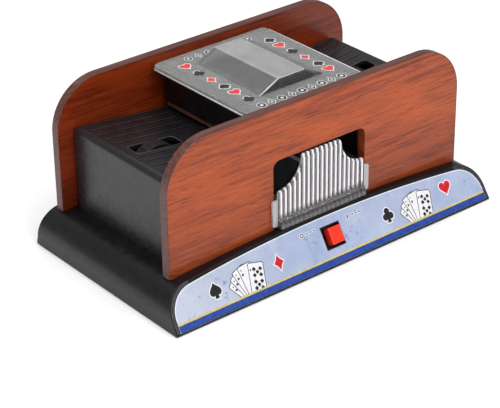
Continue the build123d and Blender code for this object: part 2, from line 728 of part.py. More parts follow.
with BuildPart() as left_wheel_hub:
    with BuildSketch(Plane.XZ.offset(-wheel_y1)):
        with Locations((ax0, az0)):
            Circle(11.6)
            Circle(axle_r, mode=Mode.SUBTRACT)
    extrude(amount=wheel_y1 - wheel_y0)
    # lightening holes between five spokes
    with BuildSketch(Plane.XZ.offset(-wheel_y1)):
        with Locations((ax0, az0)):
            with PolarLocations(7.4, 5):
                Circle(2.1)
    extrude(amount=wheel_y1 - wheel_y0, mode=Mode.SUBTRACT)
    with BuildSketch(Plane.XZ.offset(-wheel_y1 - 2.0)):
        with Locations((ax0, az0)):
            Circle(3.6)
            Circle(axle_r, mode=Mode.SUBTRACT)
    extrude(amount=2.0)
left_wheel_hub.part.label = "left_wheel_hub"
export_step(left_wheel_hub.part, "parts/left_wheel_hub.step")

with BuildPart() as left_wheel_tyre:
    with BuildSketch(Plane.XZ.offset(-wheel_y1)):
        with Locations((ax0, az0)):
            Circle(wheel_r)
            Circle(11.6, mode=Mode.SUBTRACT)
    extrude(amount=wheel_y1 - wheel_y0)
    chamfer(left_wheel_tyre.faces().sort_by(Axis.Y)[0].edges().sort_by(SortBy.LENGTH)[-1], length=0.5)
    chamfer(left_wheel_tyre.faces().sort_by(Axis.Y)[-1].edges().sort_by(SortBy.LENGTH)[-1], length=0.5)
    # grip grooves across the tread
    with BuildSketch(Plane.XZ.offset(-wheel_y1)):
        with Locations((ax0, az0)):
            with PolarLocations(wheel_r + 0.15, 24):
                Circle(0.5)
    extrude(amount=wheel_y1 - wheel_y0, mode=Mode.SUBTRACT)
left_wheel_tyre.part.label = "left_wheel_tyre"
export_step(left_wheel_tyre.part, "parts/left_wheel_tyre.step")

small_phase = train_deg + 180 + 180 / n_small
with BuildPart() as left_idler_gear:
    with BuildSketch(Plane.XZ.offset(15.2)):
        with BuildLine():
            Polyline(*gear_points(n_small, (bx0, bz0), small_phase), close=True)
        make_face()
        with Locations((bx0, bz0)):
            Circle(1.0 + run, mode=Mode.SUBTRACT)
    extrude(amount=7.3)
    with BuildSketch(Plane.XZ.offset(22.5)):
        with BuildLine():
            Polyline(*gear_points(n_big, (bx0, bz0), train_deg), close=True)
        make_face()
        with Locations((bx0, bz0)):
            Circle(1.0 + run, mode=Mode.SUBTRACT)
    extrude(amount=3.6)
left_idler_gear.part.label = "left_idler_gear"
export_step(left_idler_gear.part, "parts/left_idler_gear.step")

with BuildPart() as left_idler_pin:
    with BuildSketch(Plane.XZ.offset(11.0)):
        with Locations((bx0, bz0)):
            Circle(1.0)
    extrude(amount=19.0)
left_idler_pin.part.label = "left_idler_pin"
export_step(left_idler_pin.part, "parts/left_idler_pin.step")

pinion_phase = train_deg + 180 + 180 / n_pinion
with BuildPart() as left_motor_pinion:
    with BuildSketch(Plane.XZ.offset(22.0)):
        with BuildLine():
            Polyline(*gear_points(n_pinion, (cx0, cz0), pinion_phase), close=True)
        make_face()
        with Locations((cx0, cz0)):
            Circle(1.0, mode=Mode.SUBTRACT)
    extrude(amount=5.0)
left_motor_pinion.part.label = "left_motor_pinion"
export_step(left_motor_pinion.part, "parts/left_motor_pinion.step")

with BuildPart() as left_motor_shaft:
    with BuildSketch(Plane.XZ.offset(8.0)):
        with Locations((cx0, cz0)):
            Circle(1.0)
    extrude(amount=19.4)
left_motor_shaft.part.label = "left_motor_shaft"
export_step(left_motor_shaft.part, "parts/left_motor_shaft.step")

with BuildPart() as left_motor:
    with BuildSketch(Plane.XZ.offset(-14.0)):
        with Locations((cx0, cz0)):
            Circle(10.0)
        with Locations(Location((cx0, cz0), train_deg)):
            Rectangle(15.4, 24, mode=Mode.INTERSECT)
    extrude(amount=25.0)
    with BuildSketch(Plane.XZ.offset(11.0)):
        with Locations((cx0, cz0)):
            Circle(3.0)
    extrude(amount=1.6)
    with BuildSketch(Plane.XZ.offset(7.6)):
        with Locations((cx0, cz0)):
            Circle(1.0 + run)
    extrude(amount=8, mode=Mode.SUBTRACT)
    with BuildSketch(Plane.XZ.offset(-16.0)):
        with Locations((cx0, cz0)):
            Circle(2.6)
        with Locations(Location((cx0, cz0), train_deg)):
            with Locations((0, 6.5), (0, -6.5)):
                Rectangle(2.4, 0.6)
    extrude(amount=2.0)
left_motor.part.label = "left_motor"
export_step(left_motor.part, "parts/left_motor.step")

with BuildPart() as left_gear_frame:
    with BuildSketch(Plane.XY.offset(22.0)):
        with Locations((-67.5, -3.0)):
            Rectangle(53.0, 54.0)
        with Locations((-49.3, 20)):
            Circle(3.4, mode=Mode.SUBTRACT)
    extrude(amount=2.0)
    # front plate, motor plate and wheel plate
    with BuildSketch(Plane.XZ.offset(28.0)):
        with BuildLine():
            Polyline((-93, 23), (-93, 64.5), (-64, 64.5), (-44, 52), (-44, 23), close=True)
        make_face()
    extrude(amount=2.0)
    with BuildSketch(Plane.XZ.offset(11.0)):
        with BuildLine():
            Polyline((-93, 23), (-93, 64.5), (-64, 64.5), (-44, 54), (-44, 23), close=True)
        make_face()
    extrude(amount=2.0)
    with BuildSketch(Plane.XZ.offset(-24.0)):
        with BuildLine():
            Polyline((-93, 23), (-87, 64.5), (-67, 64.5), (-62, 23), close=True)
        make_face()
    extrude(amount=2.0)
    # bearing, pin and motor holes
    with BuildSketch(Plane.XZ.offset(-25.0)):
        with Locations((ax0, az0)):
            Circle(3.4)
    extrude(amount=56, mode=Mode.SUBTRACT)
    with BuildSketch(Plane.XZ.offset(10.0)):
        with Locations((bx0, bz0)):
            Circle(1.0)
    extrude(amount=21, mode=Mode.SUBTRACT)
    with BuildSketch(Plane.XZ.offset(10.0)):
        with Locations((cx0, cz0)):
            Circle(3.0)
    extrude(amount=4, mode=Mode.SUBTRACT)
left_gear_frame.part.label = "left_gear_frame"
export_step(left_gear_frame.part, "parts/left_gear_frame.step")

with BuildPart() as left_bushes:
    for yb in (-24.0, 11.0, 28.0):
        with BuildSketch(Plane.XZ.offset(yb)):
            with Locations((ax0, az0)):
                Circle(3.4)
                Circle(axle_r + run, mode=Mode.SUBTRACT)
        extrude(amount=2.0)
left_bushes.part.label = "left_bushes"
export_step(left_bushes.part, "parts/left_bushes.step")

with BuildPart() as left_motor_wires:
    for dx in (0.0, 3.4):
        with BuildLine():
            run_line = FilletPolyline((-51 + dx, 12.1, 12.5), (-51 + dx, 20, 12.5), (-51 + dx, 20, 34 + dx), (-51 + dx, 16.4, 34 + dx), radius=1.6)
        with BuildSketch(Plane(origin=(-51 + dx, 12.1, 12.5), z_dir=(0, 1, 0))):
            Circle(0.7)
        sweep()
left_motor_wires.part.label = "left_motor_wires"
export_step(left_motor_wires.part, "parts/left_motor_wires.step")

with BuildPart() as switch_wires:
    for dx in (-4.0, 4.0):
        with BuildSketch(Plane.XZ.offset(22.0)):
            with Locations((dx, 8.0)):
                Circle(0.7)
        extrude(amount=24.0)
switch_wires.part.label = "switch_wires"
export_step(switch_wires.part, "parts/switch_wires.step")

# the right-hand drive is the left one mirrored
with BuildPart() as right_axle_gear:
    add(mirror(left_axle_gear.part, about=Plane.YZ))
right_axle_gear.part.label = "right_axle_gear"
export_step(right_axle_gear.part, "parts/right_axle_gear.step")
with BuildPart() as right_feed_axle:
    add(mirror(left_feed_axle.part, about=Plane.YZ))
right_feed_axle.part.label = "right_feed_axle"
export_step(right_feed_axle.part, "parts/right_feed_axle.step")
with BuildPart() as right_wheel_hub:
    add(mirror(left_wheel_hub.part, about=Plane.YZ))
right_wheel_hub.part.label = "right_wheel_hub"
export_step(right_wheel_hub.part, "parts/right_wheel_hub.step")
with BuildPart() as right_wheel_tyre:
    add(mirror(left_wheel_tyre.part, about=Plane.YZ))
right_wheel_tyre.part.label = "right_wheel_tyre"
export_step(right_wheel_tyre.part, "parts/right_wheel_tyre.step")
with BuildPart() as right_idler_gear:
    add(mirror(left_idler_gear.part, about=Plane.YZ))
right_idler_gear.part.label = "right_idler_gear"
export_step(right_idler_gear.part, "parts/right_idler_gear.step")
with BuildPart() as right_idler_pin:
    add(mirror(left_idler_pin.part, about=Plane.YZ))
right_idler_pin.part.label = "right_idler_pin"
export_step(right_idler_pin.part, "parts/right_idler_pin.step")
with BuildPart() as right_motor_pinion:
    add(mirror(left_motor_pinion.part, about=Plane.YZ))
right_motor_pinion.part.label = "right_motor_pinion"
export_step(right_motor_pinion.part, "parts/right_motor_pinion.step")
with BuildPart() as right_motor_shaft:
    add(mirror(left_motor_shaft.part, about=Plane.YZ))
right_motor_shaft.part.label = "right_motor_shaft"
export_step(right_motor_shaft.part, "parts/right_motor_shaft.step")
with BuildPart() as right_motor:
    add(mirror(left_motor.part, about=Plane.YZ))
right_motor.part.label = "right_motor"
export_step(right_motor.part, "parts/right_motor.step")
with BuildPart() as right_gear_frame:
    add(mirror(left_gear_frame.part, about=Plane.YZ))
right_gear_frame.part.label = "right_gear_frame"
export_step(right_gear_frame.part, "parts/right_gear_frame.step")
with BuildPart() as right_bushes:
    add(mirror(left_bushes.part, about=Plane.YZ))
right_bushes.part.label = "right_bushes"
export_step(right_bushes.part, "parts/right_bushes.step")
with BuildPart() as right_motor_wires:
    add(mirror(left_motor_wires.part, about=Plane.YZ))
right_motor_wires.part.label = "right_motor_wires"
export_step(right_motor_wires.part, "parts/right_motor_wires.step")

# panel screws, from inside the housings into the wood
with BuildPart() as panel_screws:
    for sx in (-90, -46, 46, 90):
        with BuildSketch(Plane.XZ.offset(-front_in - 1.6 - 1.4)):
            with Locations((sx, 34)):
                Circle(2.6)
        extrude(amount=1.4)
        with BuildSketch(Plane.XZ.offset(-front_in - 1.6)):
            with Locations((sx, 34)):
                Circle(1.2)
        extrude(amount=5.0)
        with BuildSketch(Plane.XZ.offset(-back_in + 1.6 + 1.4)):
            with Locations((sx, 34)):
                Circle(2.6)
        extrude(amount=-1.4)
        with BuildSketch(Plane.XZ.offset(-back_in + 1.6)):
            with Locations((sx, 34)):
                Circle(1.2)
        extrude(amount=-5.0)
panel_screws.part.label = "panel_screws"
export_step(panel_screws.part, "parts/panel_screws.step")
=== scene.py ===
import json
import math

import bmesh
import bpy
from mathutils import Matrix, Vector, noise
from mathutils.geometry import tessellate_polygon


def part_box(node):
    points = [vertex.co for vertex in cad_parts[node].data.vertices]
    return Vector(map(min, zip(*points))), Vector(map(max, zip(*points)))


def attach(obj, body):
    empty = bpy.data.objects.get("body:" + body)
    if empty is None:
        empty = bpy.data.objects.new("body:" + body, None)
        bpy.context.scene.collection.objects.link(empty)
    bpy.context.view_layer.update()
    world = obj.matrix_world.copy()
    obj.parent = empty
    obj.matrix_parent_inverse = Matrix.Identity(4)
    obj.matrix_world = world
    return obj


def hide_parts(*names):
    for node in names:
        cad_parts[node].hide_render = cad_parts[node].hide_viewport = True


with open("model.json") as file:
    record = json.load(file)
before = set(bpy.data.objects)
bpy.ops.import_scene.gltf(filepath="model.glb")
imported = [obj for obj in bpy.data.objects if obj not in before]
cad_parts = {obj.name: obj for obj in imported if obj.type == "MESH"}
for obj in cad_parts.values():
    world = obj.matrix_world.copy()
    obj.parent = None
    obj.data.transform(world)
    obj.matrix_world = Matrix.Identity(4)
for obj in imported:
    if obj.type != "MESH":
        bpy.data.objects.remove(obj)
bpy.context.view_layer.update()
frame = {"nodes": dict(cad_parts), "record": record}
MM = 0.001


# ---------------------------------------------------------------- materials
def lin(r, g, b):
    """An 0-255 display colour as a linear one."""
    out = []
    for c in (r, g, b):
        c /= 255.0
        out.append(c / 12.92 if c <= 0.04045 else ((c + 0.055) / 1.055) ** 2.4)
    return (*out, 1.0)


class Mat:
    def __init__(self, name):
        self.m = bpy.data.materials.new(name)
        self.m.use_nodes = True
        self.t = self.m.node_tree
        self.t.nodes.clear()
        self.out = self.t.nodes.new("ShaderNodeOutputMaterial")
        self.b = self.t.nodes.new("ShaderNodeBsdfPrincipled")
        self.t.links.new(self.b.outputs[0], self.out.inputs[0])
        self.co = self.t.nodes.new("ShaderNodeTexCoord").outputs["Object"]

    def put(self, name, v):
        if isinstance(v, bpy.types.NodeSocket):
            self.t.links.new(v, self.b.inputs[name])
        else:
            self.b.inputs[name].default_value = v
        return self

    def space(self, scale=(1, 1, 1), rot=(0, 0, 0), loc=(0, 0, 0)):
        n = self.t.nodes.new("ShaderNodeMapping")
        self.t.links.new(self.co, n.inputs[0])
        n.inputs["Scale"].default_value = scale
        n.inputs["Rotation"].default_value = rot
        n.inputs["Location"].default_value = loc
        return n.outputs[0]

    def noise(self, vec, scale=1.0, detail=3.0, rough=0.5, dist=0.0):
        n = self.t.nodes.new("ShaderNodeTexNoise")
        self.t.links.new(vec, n.inputs["Vector"])
        n.inputs["Scale"].default_value = scale
        n.inputs["Detail"].default_value = detail
        n.inputs["Roughness"].default_value = rough
        n.inputs["Distortion"].default_value = dist
        return n.outputs[0]

    def voronoi(self, vec, scale=1.0):
        n = self.t.nodes.new("ShaderNodeTexVoronoi")
        self.t.links.new(vec, n.inputs["Vector"])
        n.inputs["Scale"].default_value = scale
        return n.outputs["Distance"]

    def ramp(self, fac, stops):
        n = self.t.nodes.new("ShaderNodeValToRGB")
        self.t.links.new(fac, n.inputs[0])
        e = n.color_ramp.elements
        while len(e) < len(stops):
            e.new(0.5)
        for el, (p, c) in zip(e, stops):
            el.position = p
            el.color = c if len(c) == 4 else (*c, 1)
        return n.outputs[0]

    def span(self, fac, a, b, lo=0.0, hi=1.0):
        n = self.t.nodes.new("ShaderNodeMapRange")
        self.t.links.new(fac, n.inputs["Value"])
        n.inputs["From Min"].default_value = lo
        n.inputs["From Max"].default_value = hi
        n.inputs["To Min"].default_value = a
        n.inputs["To Max"].default_value = b
        return n.outputs[0]

    def mix(self, fac, a, b, blend="MIX"):
        n = self.t.nodes.new("ShaderNodeMix")
        n.data_type = "RGBA"
        n.blend_type = blend
        for s, v in ((n.inputs[0], fac), (n.inputs[6], a), (n.inputs[7], b)):
            if isinstance(v, bpy.types.NodeSocket):
                self.t.links.new(v, s)
            else:
                s.default_value = v
        return n.outputs[2]

    def axis(self, which):
        n = self.t.nodes.new("ShaderNodeSeparateXYZ")
        self.t.links.new(self.co, n.inputs[0])
        return n.outputs["XYZ".index(which)]

    def bump(self, height, strength=0.3, distance=0.0002):
        n = self.t.nodes.new("ShaderNodeBump")
        self.t.links.new(height, n.inputs["Height"])
        n.inputs["Strength"].default_value = strength
        n.inputs["Distance"].default_value = distance
        self.t.links.new(n.outputs[0], self.b.inputs["Normal"])
        return self


def plastic(name, dark, light, r0, r1, grain=1800.0, bump=0.15, spec=0.5, mottled=60.0):
    k = Mat(name)
    v = k.space()
    big = k.noise(v, mottled, 4, 0.55)
    k.put("Base Color", k.ramp(big, [(0.3, dark), (0.72, light)]))
    k.put("Roughness", k.span(k.noise(v, 240.0, 3, 0.6), r0, r1, 0.3, 0.7))
    k.put("Specular IOR Level", spec)
    k.bump(k.noise(v, grain, 2, 0.5), bump, 0.00012)
    return k


black = plastic("black_plastic", lin(9, 9, 11), lin(17, 17, 20), 0.26, 0.40, spec=0.4)
tray_black = plastic("tray_plastic", lin(22, 20, 23), lin(33, 31, 34), 0.24, 0.36, spec=0.45)
inner = plastic("inner_plastic", lin(12, 12, 13), lin(22, 22, 23), 0.42, 0.58, spec=0.3)
# light grey: painted highlight lines along the base's end edge
end_line_glint = plastic("end_edge_painted_highlight", lin(84, 86, 90), lin(120, 121, 126), 0.3, 0.42)
red = plastic("red_plastic", lin(242, 38, 20), lin(255, 58, 34), 0.26, 0.36, spec=0.5)
white = plastic("white_plastic", lin(212, 212, 206), lin(232, 232, 228), 0.35, 0.5)
rubber = plastic("rubber", lin(10, 10, 10), lin(20, 19, 19), 0.5, 0.7, grain=900.0, bump=0.35, spec=0.3)
brown = plastic("brown_rubber", lin(62, 34, 20), lin(84, 48, 30), 0.6, 0.78, grain=900.0, bump=0.35)
wrap = plastic("battery_wrap", lin(26, 66, 120), lin(36, 84, 146), 0.3, 0.4)
sheath = plastic("wire_sheath", lin(150, 24, 22), lin(186, 36, 30), 0.4, 0.5)


def metal(name, dark, light, r0, r1, scale=(900, 900, 60)):
    k = Mat(name)
    v = k.space(scale)
    n = k.noise(v, 1.0, 3, 0.6)
    k.put("Base Color", k.ramp(n, [(0.3, dark), (0.7, light)]))
    k.put("Roughness", k.span(n, r0, r1, 0.3, 0.7))
    k.put("Metallic", 1.0)
    k.bump(n, 0.1, 0.00005)
    return k


steel = metal("steel", lin(150, 152, 156), lin(190, 192, 196), 0.22, 0.38)
brass = metal("brass", lin(160, 124, 60), lin(196, 156, 84), 0.24, 0.4)


def wood_like(name, deep, dark, mid, light, streak, foot=0.72, rough=(0.25, 0.4)):
    k = Mat(name)
    tilt = (0, math.radians(6.5), 0)
    flow = k.space((11, 60, 330), tilt)
    wide = k.noise(flow, 1.0, 5, 0.62, 0.55)
    fine = k.noise(k.space((42, 260, 1250), tilt), 1.0, 4, 0.62, 0.25)
    pores = k.noise(k.space((90, 900, 3200), tilt, (3.1, 0, 1.7)), 1.0, 2, 0.5)
    patch = k.noise(k.space((14, 20, 46), tilt, (5.3, 1.1, 0)), 1.0, 3, 0.5)
    col = k.ramp(wide, [(0.28, dark), (0.42, mid), (0.56, light), (0.66, mid), (0.78, dark)])
    lines = k.ramp(fine, [(0.32, (0, 0, 0)), (0.47, (0.75, 0.75, 0.75)), (0.62, (1, 1, 1))])
    col = k.mix(0.72, col, k.mix(lines, deep, col))
    glow = k.ramp(patch, [(0.5, (0, 0, 0)), (0.72, (0.8, 0.8, 0.8))])
    col = k.mix(glow, col, streak)
    dots = k.ramp(pores, [(0.30, (1, 1, 1)), (0.40, (0, 0, 0))])
    col = k.mix(dots, col, deep)
    # painted shade: the wood is multiplied darker towards the foot of each panel, where it meets the base
    shade = k.span(k.axis("Z"), foot, 1.0, 0.024, 0.062)
    col = k.mix(1.0, col, shade, "MULTIPLY")
    k.put("Base Color", col)
    k.put("Roughness", k.span(fine, rough[1], rough[0], 0.3, 0.7))
    k.put("Specular IOR Level", 0.3)
    k.put("Coat Weight", 0.06)
    k.put("Coat Roughness", 0.22)
    k.bump(fine, 0.12, 0.00010)
    return k


wood = wood_like("wood", lin(70, 22, 8), lin(122, 46, 20), lin(158, 64, 28), lin(184, 84, 38), lin(190, 84, 30))
# a darker copy of the wood for the back panel's inner face: painted shade, with a deeper painted shade at its foot
wood_shaded_copy = wood_like("wood_back_painted_shade", lin(56, 14, 4), lin(96, 28, 8), lin(124, 40, 12), lin(146, 56, 20), lin(150, 54, 14), 0.6)
edging = Mat("edge_banding")
flow = edging.space((30, 700, 500))
streaks = edging.noise(flow, 1.0, 4, 0.6)
edging.put("Base Color", edging.ramp(streaks, [(0.3, lin(58, 26, 20)), (0.55, lin(92, 52, 44)), (0.75, lin(112, 76, 70))]))
edging.put("Roughness", edging.span(streaks, 0.3, 0.5, 0.3, 0.7))
edging.bump(streaks, 0.15, 0.00008)


def printed(name, a, b, rough=0.36, scale=420.0):
    k = Mat(name)
    v = k.space()
    n = k.noise(v, scale, 3, 0.6)
    k.put("Base Color", k.ramp(n, [(0.3, a), (0.7, b)]))
    k.put("Roughness", k.span(n, rough - 0.05, rough + 0.07, 0.3, 0.7))
    k.bump(k.noise(v, 2400.0, 2, 0.5), 0.05, 0.00004)
    return k


ink_black = printed("ink_black", lin(12, 12, 16), lin(28, 28, 34))
ink_red = printed("ink_red", lin(188, 10, 26), lin(214, 24, 40))
lid_red = printed("lid_ink_red", lin(196, 42, 48), lin(224, 64, 68))
lid_black = printed("lid_ink_black", lin(24, 24, 28), lin(44, 44, 48))
ink_white = printed("ink_white", lin(222, 223, 226), lin(236, 236, 238))
lid_white = printed("lid_ink_white", lin(196, 200, 198), lin(226, 228, 226))
ink_gold = printed("ink_gold", lin(188, 170, 108), lin(212, 196, 140))
ink_blue = printed("ink_blue", lin(22, 54, 136), lin(38, 76, 164))
ink_line = printed("ink_line", lin(30, 32, 44), lin(50, 52, 66))
ink_grey = printed("ink_grey", lin(104, 108, 108), lin(140, 144, 142))

label = Mat("blue_print")
v = label.space()
cloud = label.noise(v, 38.0, 6, 0.62, 0.6)
paper = label.ramp(cloud, [(0.3, lin(150, 166, 198)), (0.5, lin(164, 176, 204)), (0.68, lin(176, 187, 212))])
# painted sheen: the label is mixed towards a pale grey at its left end
side = label.span(label.axis("X"), 0.75, 0.0, -0.118, -0.03)
paper = label.mix(side, paper, lin(196, 200, 212))
fleck = label.ramp(label.noise(v, 300.0, 3, 0.7), [(0.56, (0, 0, 0)), (0.66, (1, 1, 1))])
where = label.ramp(label.noise(label.space((1, 1, 1), (0, 0, 0), (0.3, 0.1, 0)), 52.0, 3, 0.6), [(0.5, (0, 0, 0)), (0.62, (0.8, 0.8, 0.8))])
paper = label.mix(label.mix(1.0, fleck, where, "MULTIPLY"), paper, lin(92, 124, 170))
label.put("Base Color", paper)
label.put("Roughness", label.span(cloud, 0.3, 0.42, 0.3, 0.7))
label.bump(label.noise(v, 2000.0, 2, 0.5), 0.05, 0.00004)


def clear(name, tint, rough, through, grain=120.0):
    k = Mat(name)
    v = k.space()
    n = k.noise(v, grain, 3, 0.5)
    k.put("Base Color", k.ramp(n, [(0.3, tint[0]), (0.7, tint[1])]))
    k.put("Roughness", k.span(n, rough[0], rough[1], 0.3, 0.7))
    k.put("Transmission Weight", through)
    k.put("IOR", 1.49)
    k.put("Specular IOR Level", 0.6)
    return k


# the lid lets less through than the tray, giving a whitish haze that is partly the plastic's own haze and partly
# painted reflection of the bright surroundings
clear_lid = clear("clear_plastic_lid", (lin(206, 208, 206), lin(222, 223, 222)), (0.02, 0.05), 0.86)
clear_tray = clear("clear_plastic_tray", (lin(226, 227, 229), lin(240, 241, 242)), (0.02, 0.05), 0.965)
clear_front = clear("clear_plastic_front", (lin(236, 234, 236), lin(246, 244, 246)), (0.05, 0.10), 0.9)
# the ribs get a painted highlight on their crests, whiter and less clear, and stay clear between them
f = clear_front


def maths(k, op, a, b=None):
    n = k.t.nodes.new("ShaderNodeMath")
    n.operation = op
    for sock, v_ in zip(n.inputs, (a, b)):
        if v_ is None:
            continue
        if isinstance(v_, bpy.types.NodeSocket):
            k.t.links.new(v_, sock)
        else:
            sock.default_value = v_
    return n.outputs[0]


RIB = 0.0034
turns = maths(f, "FRACT", maths(f, "ADD", maths(f, "MULTIPLY", f.axis("X"), 1 / RIB), 20.5))
off_crest = maths(f, "ABSOLUTE", maths(f, "SUBTRACT", turns, 0.5))
crest = f.span(off_crest, 1.0, 0.0, 0.16, 0.26)
above = f.span(f.axis("Z"), 0.12, 1.0, 0.0335, 0.0375)
inside = f.span(maths(f, "ABSOLUTE", f.axis("X")), 1.0, 0.35, 0.0318, 0.0326)
# painted highlight on the rib crests: strongest near the top, weaker toward the ends, and at half strength on the
# flanges
rib_painted_highlight = maths(f, "MULTIPLY", maths(f, "MULTIPLY", crest, above), inside)
flange = f.span(maths(f, "ABSOLUTE", f.axis("X")), 0.0, 0.5, 0.0324, 0.0330)
rib_painted_highlight = maths(f, "MAXIMUM", rib_painted_highlight, flange)
f.put("Transmission Weight", f.span(rib_painted_highlight, 0.92, 0.08))
# painted reflection: the lid is made paler and less clear on its flat faces and clearest at the ridge's front end
q = clear_lid
flat_top = q.span(q.axis("Z"), 0.0, 1.0, 0.1043, 0.1047)
plate_z = q.span(q.axis("Z"), 1.0, 0.0, 0.0977, 0.0981)
end_y = maths(q, "MULTIPLY", q.span(q.axis("Y"), 1.0, 0.0, -0.0220, -0.0215), maths(q, "SUBTRACT", 1.0, plate_z))
lid_clear_painted_sheen = maths(q, "SUBTRACT", maths(q, "ADD", 0.87, maths(q, "MULTIPLY", end_y, 0.10)),
                  maths(q, "ADD", maths(q, "MULTIPLY", flat_top, 0.26), maths(q, "MULTIPLY", plate_z, 0.11)))
q.put("Transmission Weight", lid_clear_painted_sheen)
# painted highlight: the rib crests are coloured near white
f.put("Base Color", f.mix(rib_painted_highlight, lin(196, 192, 196), lin(252, 251, 253)))

BY_SLOT = {
    "black_plastic": black, "inner_plastic": inner, "wood": wood, "edge_banding": edging,
    "blue_print": label, "red_plastic": red, "clear_plastic": clear_tray, "rubber": rubber,
    "brown_rubber": brown, "white_plastic": white, "steel": steel, "brass": brass,
    "battery_wrap": wrap, "wire_sheath": sheath,
}
BY_NODE = {
    "back_panel": wood_shaded_copy, "clear_lid": clear_lid, "drawer_front": clear_front,
    "left_tray_housing": tray_black, "right_tray_housing": tray_black,
}
SLOT_OF = {}


def gather(thing):
    if isinstance(thing, dict):
        if "node" in thing and "material_slot" in thing:
            SLOT_OF[thing["node"]] = thing["material_slot"]
        for x in thing.values():
            gather(x)
    elif isinstance(thing, list):
        for x in thing:
            gather(x)


gather(frame["record"])


def finish_of(node):
    return BY_NODE.get(node) or BY_SLOT[SLOT_OF[node]]


for name, ob in frame["nodes"].items():
    if not ob.material_slots:
        continue
    for s in ob.material_slots:
        s.material = finish_of(name).m


# ---------------------------------------------------- softened copies of CAD
def soften(node, body, width, angle=32.0, segments=3):
    src = frame["nodes"][node]
    mesh = src.data.copy()
    mesh.name = "soft_" + node
    bm = bmesh.new()
    bm.from_mesh(mesh)
    bmesh.ops.remove_doubles(bm, verts=bm.verts, dist=2e-6)
    bmesh.ops.dissolve_limit(bm, angle_limit=math.radians(0.6), verts=bm.verts, edges=bm.edges)
    bmesh.ops.recalc_face_normals(bm, faces=bm.faces)
    for f in bm.faces:
        f.smooth = True
    bm.to_mesh(mesh)
    bm.free()
    if mesh.has_custom_normals:
        for a in [a for a in mesh.attributes if a.name == "custom_normal"]:
            mesh.attributes.remove(a)
    mesh.set_sharp_from_angle(angle=math.radians(angle))
    mesh.materials.clear()
    mesh.materials.append(finish_of(node).m)
    ob = bpy.data.objects.new("soft_" + node, mesh)
    bpy.context.collection.objects.link(ob)
    bev = ob.modifiers.new("bevel", "BEVEL")
    bev.width = width * MM
    bev.segments = segments
    bev.limit_method = "ANGLE"
    bev.angle_limit = math.radians(angle)
    bev.use_clamp_overlap = True
    bev.harden_normals = False
    bev.miter_outer = "MITER_ARC"
    wn = ob.modifiers.new("normals", "WEIGHTED_NORMAL")
    wn.keep_sharp = True
    wn.weight = 80
    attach(ob, body)
    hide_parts(node)
    return ob


soften("base_shell", "root", 0.9)
soften("front_panel", "root", 0.15)
soften("back_panel", "root", 0.15)
soften("front_edge_band", "root", 0.12)
soften("back_edge_band", "root", 0.12)
soften("card_well", "root", 0.3)
soften("switch_cup", "root", 0.25)
soften("switch_knob", "knob", 0.55)
soften("clear_lid", "lid", 0.3)
soften("drawer_front", "drawer", 0.2)


# --------------------------------------------------------- printed graphics
def to_face(lift):
    """Points (x, up the slope) on the sloping front face, in mm, raised by lift."""
    up = Vector((0, 0.5336, 0.8457))
    out = Vector((0, -0.8457, 0.5336))
    origin = Vector((0, -67.5, 0.6))
    return lambda p: (origin + Vector((p[0], 0, 0)) + up * p[1] + out * (0.35 + lift)) * MM


def to_lid(lift):
    return lambda p: Vector((p[0], p[1], 97.6 + lift)) * MM


def plate(name, polys, material, body, lower, upper):
    """A thin solid for each flat outline."""
    bm = bmesh.new()
    for pts in polys:
        clean = [p for i, p in enumerate(pts) if math.dist(p, pts[i - 1]) > 1e-4]
        if len(clean) < 3:
            continue
        area = sum(clean[i - 1][0] * clean[i][1] - clean[i][0] * clean[i - 1][1] for i in range(len(clean)))
        if abs(area) < 1e-3:
            continue
        if area < 0:
            clean.reverse()
        a = [bm.verts.new(lower(p)) for p in clean]
        b = [bm.verts.new(upper(p)) for p in clean]
        n = len(clean)
        tris = tessellate_polygon([[Vector((p[0], p[1], 0)) for p in clean]])
        for t in tris:
            try:
                bm.faces.new([b[i] for i in t])
                bm.faces.new([a[i] for i in reversed(t)])
            except ValueError:
                pass
        for i in range(n):
            j = (i + 1) % n
            bm.faces.new([a[i], a[j], b[j], b[i]])
    bmesh.ops.recalc_face_normals(bm, faces=bm.faces)
    mesh = bpy.data.meshes.new(name)
    bm.to_mesh(mesh)
    bm.free()
    mesh.materials.append(material.m)
    ob = bpy.data.objects.new(name, mesh)
    bpy.context.collection.objects.link(ob)
    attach(ob, body)
    return ob


def star_union(polys, n=88):
    """Outline of several shapes that all see the origin."""
    out = []
    for k in range(n):
        t = 2 * math.pi * (k + 0.5) / n
        dx, dy = math.cos(t), math.sin(t)
        best = 0.02
        for pts in polys:
            for i in range(len(pts)):
                (x0, y0), (x1, y1) = pts[i - 1], pts[i]
                ex, ey = x1 - x0, y1 - y0
                den = dx * ey - dy * ex
                if abs(den) < 1e-12:
                    continue
                r = (x0 * ey - y0 * ex) / den
                u = (x0 * dy - y0 * dx) / den
                if r > best and -1e-9 <= u <= 1 + 1e-9:
                    best = r
        out.append((best * dx, best * dy))
    return out


def circle(x, y, r, n=32):
    return [(x + r * math.cos(2 * math.pi * i / n), y + r * math.sin(2 * math.pi * i / n)) for i in range(n)]


